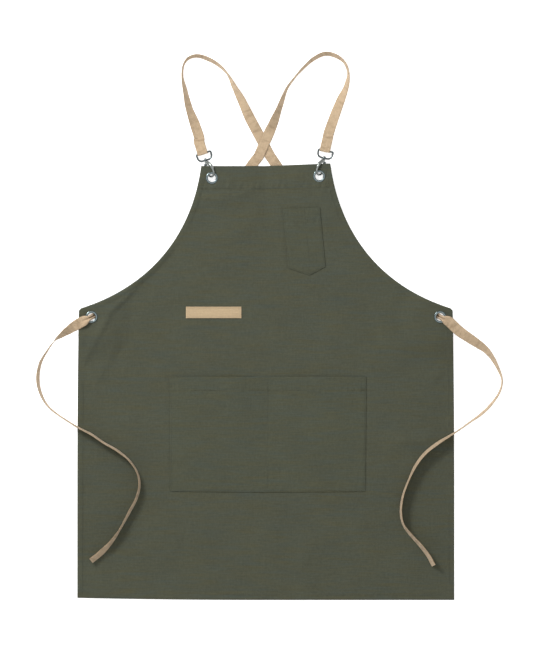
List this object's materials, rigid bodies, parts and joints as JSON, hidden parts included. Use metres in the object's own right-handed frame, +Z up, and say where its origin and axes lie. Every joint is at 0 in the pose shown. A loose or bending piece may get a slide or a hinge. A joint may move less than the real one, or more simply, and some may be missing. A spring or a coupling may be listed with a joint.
{
  "type": "cross back apron",
  "caption": "Dark olive canvas cross back apron with webbing straps, metal eyelets, swivel hook clasps, a divided waist pocket and a pointed chest pocket, lying flat",
  "frame": {"origin": "middle of the footprint on the surface the apron lies on", "axes": "+Y from the bottom hem to the bib, +X to the right seen from above, +Z up from the surface"},
  "size_m": [0.8924, 1.048, 0.025],
  "materials": {
    "canvas_panel": "matt plain-weave canvas, dark olive",
    "canvas_waist_pocket": "matt plain-weave canvas, dark olive",
    "canvas_chest_pocket": "matt plain-weave canvas, dark olive",
    "patch_webbing": "ribbed cotton webbing, beige",
    "strap_webbing": "herringbone cotton webbing, beige",
    "eyelet_metal": "plated, satin",
    "clasp_metal": "plated, bright"
  },
  "bodies": {
    "apron": {"apron_panel": "canvas_panel", "waist_pocket": "canvas_waist_pocket", "chest_pocket": "canvas_chest_pocket", "tape_patch": "patch_webbing", "bib_eyelet_left": "eyelet_metal", "bib_eyelet_right": "eyelet_metal", "waist_eyelet_left": "eyelet_metal", "waist_eyelet_right": "eyelet_metal", "strap_left": "strap_webbing", "strap_right": "strap_webbing", "strap_loop_left": "clasp_metal", "strap_loop_right": "clasp_metal"},
    "left_hook": {"hook_left": "clasp_metal"},
    "left_gate": {"gate_left": "clasp_metal"},
    "right_hook": {"hook_right": "clasp_metal"},
    "right_gate": {"gate_right": "clasp_metal"}
  },
  "joints": [
    {"name": "left_swivel", "type": "hinge", "parent": "apron", "child": "left_hook", "pos_m": [-0.12203, 0.31584, 0.0067], "axis": [0.2756, -0.9613, 0], "range_deg": [0, 60]},
    {"name": "right_swivel", "type": "hinge", "parent": "apron", "child": "right_hook", "pos_m": [0.10461, 0.31999, 0.0067], "axis": [0.225, 0.9744, 0], "range_deg": [0, 60]},
    {"name": "left_gate_hinge", "type": "hinge", "parent": "left_hook", "child": "left_gate", "pos_m": [-0.12112, 0.30674, 0.00523], "axis": [-0.6432, -0.1844, 0.7431], "range_deg": [0, 14], "stiffness_Nm_per_rad": 0.1, "springref_deg": -5.73},
    {"name": "right_gate_hinge", "type": "hinge", "parent": "right_hook", "child": "right_gate", "pos_m": [0.10418, 0.31086, 0.00523], "axis": [-0.652, 0.1505, -0.7431], "range_deg": [0, 14], "stiffness_Nm_per_rad": 0.1, "springref_deg": -5.73}
  ]
}
